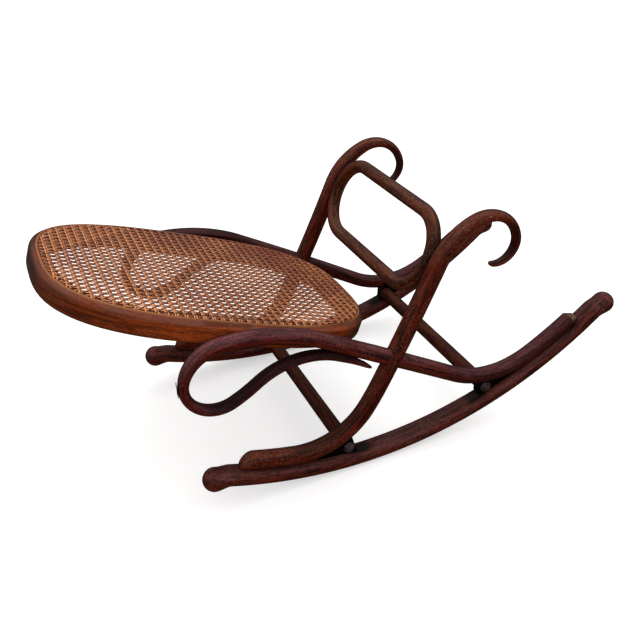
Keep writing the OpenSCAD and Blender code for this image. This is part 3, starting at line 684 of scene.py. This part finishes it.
def iron_finish(name):
    """Dull iron: grey where it is rubbed, brown rust in patches, and a fine pitted surface."""
    paint = bpy.data.materials.new(name)
    paint.use_nodes = True
    tree = paint.node_tree
    place = connect(tree, "ShaderNodeTexCoord", {}).outputs["Object"]
    rust = noise(tree, place, (190.0, 190.0, 190.0), 5.0, rough=0.5)
    rubbed = ramp(tree, rust, 0.38, 0.62, kind="LINEAR")
    fill(tree, tree.nodes["Principled BSDF"], {
        "Metallic": 0.55,
        "Base Color": mix(tree, rubbed, rust_brown, rubbed_grey),
        "Roughness": ramp(tree, rust, 0.0, 1.0, 0.75, 0.42, kind="LINEAR"),
        "Normal": raised(tree, rust, 0.4, 0.0006)})
    return paint


iron = iron_finish("old_iron")
dress(["front_bolts", "rear_bolts", "front_foot_screws", "rear_foot_screws", "crossing_screws", "hoop_screws",
       "ring_screws"], iron)


# Hoop. A thin beech rod bent to a closed, rounded rectangle. It stands between the two uprights, in line with
# their legs, and is screwed to both.
hoop_at, hoop_height, hoop_rod = 468.4, 139.5, 21.5
hoop_half_high = (hoop_height - hoop_rod) / 2
hoop_half_wide = upright_inner - hoop_rod / 2
hoop_corner = 57.0
hoop_rings, hoop_sides = 260, 28
bearing_dark, bearing_before, bearing_after = 0.6, 12.0, 6.0
hoop_middle = upright_line(np.array([hoop_at]))[0]
hoop_wood = wood_finish("hoop_wood", "#180803", "#722f13", "#785042", "#964014", fleck_share=0.8,
                        painted_sheen_share=0.6)


def hoop_line(count):
    """Points of a rounded rectangle at equal steps, as rows of up, across, the outward direction's angle and
    the distance so far. Four flats and four quarter circles follow each other from the top's middle."""
    flat = np.array([hoop_half_high - hoop_corner, hoop_half_wide - hoop_corner])
    quarter = np.pi / 2 * hoop_corner
    side = [flat[1], quarter, 2 * flat[0], quarter, 2 * flat[1], quarter, 2 * flat[0], quarter, flat[1]]
    knots = np.concatenate([[0.0], np.cumsum(side)])
    s = np.linspace(0, knots[-1], count, endpoint=False)
    a = np.interp(s, knots, np.radians([0, 0, 90, 90, 180, 180, 270, 270, 360, 360]))
    ups = np.array([1, 1, 1, -1, -1, -1, -1, 1, 1, 1]) * flat[0]
    outs = np.array([0, 1, 1, 1, 1, -1, -1, -1, -1, 0]) * flat[1]
    return np.column_stack([np.interp(s, knots, ups) + hoop_corner * np.cos(a),
                            np.interp(s, knots, outs) + hoop_corner * np.sin(a), a, s])


line = hoop_line(hoop_rings)
t = 2 * np.pi * np.arange(hoop_sides) / hoop_sides
out = hoop_rod / 2 * np.cos(t)
over = hoop_rod / 2 * np.sin(t)
up = line[:, 0:1] + np.cos(line[:, 2:3]) * out
across = line[:, 1:2] + np.sin(line[:, 2:3]) * out
lean = hoop_middle[2]
grid = np.stack([hoop_middle[0] + up * np.cos(lean) - over * np.sin(lean), across,
                 hoop_middle[1] + up * np.sin(lean) + over * np.cos(lean)], -1)
unbent = np.stack([np.broadcast_to(line[:, 3:4], up.shape), np.broadcast_to(out, up.shape),
                   np.broadcast_to(over, up.shape)], -1) / 1000.0 + np.array([30.0, 0.0, 0.0])
bearing_stain = bearing_dark * between(np.abs(across), hoop_half_wide - bearing_before,
                                       hoop_half_wide + bearing_after)
hoop = surface("hoop_rod", at_rest(grid)[:, ::-1], unbent[:, ::-1], wrap=(True, True), caps=False,
               stain_and_shade=bearing_stain[:, ::-1])
hoop.data.materials.append(hoop_wood)
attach(hoop, "root")
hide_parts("hoop")


# Seat ring. A flat oval bent from one wide beech strip, its two ends joined by a long scarf on the near side.
# The top is rounded over outside a groove that takes the caning, and screws hold it to the seat scrolls.
cane_half_length, ring_margin, oval_power = 242.0, 8.0, 2.9
ring_wide, ring_deep = 26.0, 33.0
brim_round, lip_round, top_round, under_round = 2.5, 1.0, 8.0, 7.0
seat_slope, seat_at, seat_ahead, seat_below = 29.8, 604.5, 30.0, 6.6
cane_half_wide = ring_half_wide - ring_margin
spline_wide, groove_deep = 4.0, 4.0
slope = np.radians(seat_slope)
bearing = scroll_line(np.array([seat_at]))[0]
seat_x = bearing[0] - seat_ahead * np.cos(slope) + seat_below * np.sin(slope)
seat_z = bearing[1] + seat_ahead * np.sin(slope) + seat_below * np.cos(slope)


def in_seat(points):
    """Turns points from the seat's own frame, x along it, y across and z out of the caning, to the room's."""
    x = seat_x + points[..., 0] * np.cos(slope) + points[..., 2] * np.sin(slope)
    z = seat_z - points[..., 0] * np.sin(slope) + points[..., 2] * np.cos(slope)
    return at_rest(np.stack([x, points[..., 1], z], -1))


def oval(a, outward):
    """Points of the oval |x/l|^p + |y/w|^p = 1 at angle parameter a, moved outward along its normal."""
    c, s, p = np.cos(a), np.sin(a), oval_power
    x = cane_half_length * np.sign(c) * np.abs(c) ** (2 / p)
    y = cane_half_wide * np.sign(s) * np.abs(s) ** (2 / p)
    nx = np.sign(x) * np.abs(x / cane_half_length) ** (p - 1) / cane_half_length
    ny = np.sign(y) * np.abs(y / cane_half_wide) ** (p - 1) / cane_half_wide
    size = np.hypot(nx, ny)
    return x + nx / size * outward, y + ny / size * outward


def within_oval(x, y, inset):
    """Whether |x/l|^p + |y/w|^p is less than 1, where both half sizes l and w are less by the inset."""
    return (np.abs(x / (cane_half_length - inset)) ** oval_power
            + np.abs(y / (cane_half_wide - inset)) ** oval_power) < 1


def oval_angles(count):
    """Angle parameters that lie equal steps apart along the oval, and their distances along it."""
    fine = np.linspace(0, 2 * np.pi, 40001)
    x, y = oval(fine, 0.0)
    run = np.concatenate([[0.0], np.cumsum(np.hypot(np.diff(x), np.diff(y)))])
    s = np.linspace(0, run[-1], count, endpoint=False)
    return np.interp(s, run, fine), s


def round_the_seat(name, profile, count, grain_start, darkening=None):
    """Carries a closed profile of [outward, up] points round the oval. Its last argument gives each point's
    darkness.
    """
    a, s = oval_angles(count)
    profile = np.array(profile, float)
    x, y = oval(a[:, None], profile[None, :, 0])
    z = np.broadcast_to(profile[:, 1], x.shape)
    unbent = np.stack([np.broadcast_to(s[:, None], x.shape) / 1000 + grain_start,
                       np.broadcast_to(profile[:, 0], x.shape) / 1000, z / 1000], -1)
    stain_and_shade = None if darkening is None else darkening(x, y, z)
    return surface(name, in_seat(np.stack([x, y, z], -1)), unbent, wrap=(True, True), caps=False, stain_and_shade=stain_and_shade)


def ring_darkening(x, y, z):
    """Darkening on the ring: darker at its two ends and its far side, painted shade inside the opening and on
    the far brim under the caning, and dark polish on a scarf at the near side's top. Places are millimetres
    in the seat's own frame."""
    # Painted shade under the caning: on the opening's inner wall and on the far brim.
    opening_painted_shade = 0.97 * between(z, -1.0, -3.0) * within_oval(x, y, 12)
    far_brim_painted_shade = 0.95 * within_oval(x, y, 1) * between(y, 0, 90)
    ends = (0.6 * between(x, -60, -225) + 0.35 * between(x, 150, 215)) * between(z, 0, -6)
    scarf = 0.5 * between(x, -58, -54) * between(x, 17, 13) * between(y, -100, -130) * between(z, -6, -2)
    # The ends and the scarf, with a darker far side.
    worn = np.maximum(ends, scarf) + 0.8 * between(y, 60, 130)
    return np.clip(np.maximum(worn, np.maximum(opening_painted_shade, far_brim_painted_shade)), 0, 1)


def rounded(corner, radius, start, sweep, count):
    """Points on a circle's arc round a corner, from one angle through a sweep, both in degrees."""
    a = np.radians(np.linspace(start, start + sweep, count))
    return [[corner[0] + radius * np.cos(v), corner[1] + radius * np.sin(v)] for v in a]


inside, underside = ring_margin - ring_wide, under_round - ring_deep
ring_profile = (rounded((inside + brim_round, -brim_round), brim_round, 180, -90, 4)
                + [[-spline_wide, 0.0], [-spline_wide, -groove_deep], [0.0, -groove_deep], [0.0, -0.6]]
                + rounded((0.9, -1.0), lip_round, 160, -60, 3)
                + rounded((ring_margin - top_round, -9.6), top_round, 55, -55, 8)
                + rounded((ring_margin - under_round, underside), under_round, 0, -90, 8)
                + rounded((inside + under_round, underside), under_round, -90, -90, 8))
ring_wood = wood_finish("ring_wood", "#6a280e", "#b8521a", "#7c5246", "#c8601a", painted_sheen_share=1.3)
ring = round_the_seat("ring_strip", ring_profile, 420, 40.0, ring_darkening)
ring.data.materials.append(ring_wood)
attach(ring, "root")
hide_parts("seat_ring")


# Caning strip. A split reed that runs once round the seat. It is hammered into the ring's groove over the
# ends of the strands, and glued.
strand_edge_shade = linear("#210c06")
aged_toward = (0.55, 0.78, 0.0)


def cane_finish(name, fresh, aged, edge_shade):
    """Rattan: pale where it is fresh, browner in patches, along the strand and toward the seat's left rear,
    and painted dark at a strand's two edges as shade between the strands."""
    paint = bpy.data.materials.new(name)
    paint.use_nodes = True
    tree = paint.node_tree
    kept = tree.nodes.new("ShaderNodeAttribute")
    kept.attribute_name = "unbent"
    place, room = kept.outputs["Vector"], connect(tree, "ShaderNodeTexCoord", {}).outputs["Object"]
    fibre = noise(tree, place, (170.0, 1100.0, 1100.0), 2.0, rough=0.5)
    patches = noise(tree, room, (9.0, 9.0, 9.0), 3.0, rough=0.5)
    each = noise(tree, place, (9.0, 0.0, 0.0), 1.0, rough=0.5)
    lean = connect(tree, "ShaderNodeVectorMath", {0: room, 1: aged_toward})
    lean.operation = "DOT_PRODUCT"
    age = math(tree, "ADD", math(tree, "ADD", fibre, patches), lean.outputs["Value"])
    age = ramp(tree, math(tree, "ADD", age, each), 1.15, 1.75, kind="LINEAR")
    tint = mix(tree, age, linear(fresh), linear(aged))
    aside = connect(tree, "ShaderNodeSeparateXYZ", {"Vector": place}).outputs["Y"]
    # Painted shade at each strand's two edges.
    shade_at_edges = ramp(tree, math(tree, "ABSOLUTE", aside), 0.0004, 0.0013, 0.0, edge_shade, kind="LINEAR")
    fill(tree, tree.nodes["Principled BSDF"], {
        "Roughness": 0.38, "Specular IOR Level": 0.22,
        "Base Color": mix(tree, shade_at_edges, tint, strand_edge_shade),
        "Normal": raised(tree, fibre, 0.25, 0.0003)})
    return paint


strip_profile = ([[-spline_wide, -3.9], [0.0, -3.9], [-0.2, -0.6]] + rounded((-2.1, -0.4), 1.4, 0, 180, 9)
                 + [[-spline_wide + 0.1, -0.6]])
strip = round_the_seat("cane_strip", strip_profile, 360, 50.0)
strip.data.materials.append(cane_finish("strip_cane", "#a5683a", "#5c2f1b", 0.0))
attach(strip, "root")
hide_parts("cane_spline")


# Caning. Split rattan in the six-way pattern: pairs of strands along and across the seat, and one strand
# each way on the slant, which cut the square gaps to eight-sided holes. The ends go down into the groove.
pitch_along, pitch_across = 12.7, 11.12
strand_wide, strand_thick = 2.8, 0.7
strand_profile = (np.array([[-0.5, -0.15], [0.5, -0.15], [0.42, 0.5], [0.0, 0.75], [-0.42, 0.5]])
                  * np.array([strand_wide, strand_thick]))
pair_gap, pair_margin, slant_margin = 0.85, 4.0, 3.0
shortest_strand = 12.0
strand_grain = 0.731
cane_lift, sag, sag_spread = 1.2, 1.5, 1.3
half_weave = 0.5
across_rings, along_rings, slant_rings = 150, 210, 130
halvings = 30
end_dip, end_reach = 1.6, 1.8
edge_long = cane_half_length - spline_wide
edge_wide = cane_half_wide - spline_wide


def chord(points, direction):
    """Distances from points, both ways along a direction, at which lines leave the caned oval. Each is found
    by halving a range that holds it."""
    lo = np.zeros((2, len(points)))
    hi = np.full((2, len(points)), 2 * edge_long)
    for _ in range(halvings):
        mid = (lo + hi) / 2
        x = points[None, :, 0] + np.array([[-1.0], [1.0]]) * mid * direction[0]
        y = points[None, :, 1] + np.array([[-1.0], [1.0]]) * mid * direction[1]
        within = within_oval(x, y, spline_wide)
        lo, hi = np.where(within, mid, lo), np.where(within, hi, mid)
    return -lo[0], lo[1]


def strands(name, starts, direction, wave, count, grain_start):
    """Flat strands along one direction from points inside the oval. wave gives each point's height from its
    place, the seat sags by a square bowl, and each end dips into the groove by a bell curve."""
    direction = np.array(direction) / np.hypot(*direction)
    aside = np.array([-direction[1], direction[0]])
    before, after = chord(starts, direction)
    long = after - before > shortest_strand
    starts, before, after = starts[long], before[long, None], after[long, None]
    s = before + (after - before) * np.linspace(0, 1, count)
    centre = starts[:, None, :] + s[..., None] * direction
    rise = wave(centre, np.arange(len(starts))[:, None])
    rise = rise - end_dip * np.exp(-(np.minimum(s - before, after - s) / end_reach) ** 2)
    bowl = 1 - ((centre[..., 0] / edge_long) ** 2 + (centre[..., 1] / edge_wide) ** 2) / sag_spread
    rise = rise + cane_lift - sag * np.clip(bowl, 0, 1)
    xy = centre[:, :, None, :] + strand_profile[None, None, :, 0:1] * aside
    z = rise[:, :, None] + strand_profile[:, 1]
    number = np.arange(len(starts))[:, None, None]
    unbent = np.stack([np.broadcast_to(s[:, :, None] / 1000 + number * strand_grain + grain_start, z.shape),
                       np.broadcast_to(strand_profile[:, 0] / 1000, z.shape),
                       np.broadcast_to(strand_profile[:, 1] / 1000, z.shape)], -1)
    n, k, m = z.shape
    first = (np.arange(n)[:, None, None] * k + np.arange(k - 1)[None, :, None]) * m
    j = np.arange(m)[None, None, :]
    over = (j + 1) % m
    quads = np.stack([first + j, first + over, first + m + over, first + m + j], -1).reshape(-1, 4)
    low_ends = np.arange(n)[:, None] * k * m + np.arange(m)[::-1]
    high_ends = (np.arange(n)[:, None] * k + k - 1) * m + np.arange(m)
    made = new_piece(name, in_seat(np.concatenate([xy, z[..., None]], -1)),
                     quads.tolist() + low_ends.tolist() + high_ends.tolist(), unbent)
    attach(made, "root")
    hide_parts("cane_panel")
    return made


def pairs(pitch, half):
    """Offsets of paired strands across one direction, the two of a pair set apart by the gap and a strand."""
    number = int(half / pitch)
    middle = np.arange(-number, number + 1) * pitch
    aside = (pair_gap + strand_wide) / 2
    return np.sort(np.concatenate([middle - aside, middle + aside]))


def over_and_under(axis, pitch, first):
    """Heights of paired strands: the square of a cosine along one axis, up for one of a pair and down for
    the other."""
    return lambda p, n: (first * half_weave * np.where(n % 2 == 0, 1, -1)
                         * np.cos(2 * np.pi * p[..., axis] / pitch) ** 2)


cane_wood = cane_finish("woven_cane", "#fca86c", "#a64a2a", 0.98)
# The slanted strands take a darker copy of the rattan, painted shade on strands that lie lower.
slant_cane_in_shade = cane_finish("slanted_cane_in_shade", "#94502c", "#542210", 0.98)
across_at = pairs(pitch_along, edge_long - pair_margin)
along_at = pairs(pitch_across, edge_wide - pair_margin)
warp = strands("cane_across", np.column_stack([across_at, np.zeros(len(across_at))]), (0, 1),
               over_and_under(1, pitch_across, 1), across_rings, 60.0)
weft = strands("cane_along", np.column_stack([np.zeros(len(along_at)), along_at]), (1, 0),
               over_and_under(0, pitch_along, -1), along_rings, 90.0)
warp.data.materials.append(cane_wood)
weft.data.materials.append(cane_wood)
number = int(edge_long / pitch_along) + 1
offsets = (np.arange(-number, number + 1) + 0.5) * pitch_along
offsets = offsets[np.abs(offsets) < edge_long - slant_margin]
starts = np.column_stack([offsets, np.zeros(len(offsets))])
for name, way, lift, grain_start in (("cane_slant", 1.0, 0.45, 120.0),
                                     ("cane_counter_slant", -1.0, 0.15, 150.0)):
    slanted = strands(name, starts, (pitch_along, way * pitch_across),
                      lambda p, n, lift=lift: np.full(p.shape[:-1], lift), slant_rings, grain_start)
    slanted.data.materials.append(slant_cane_in_shade)
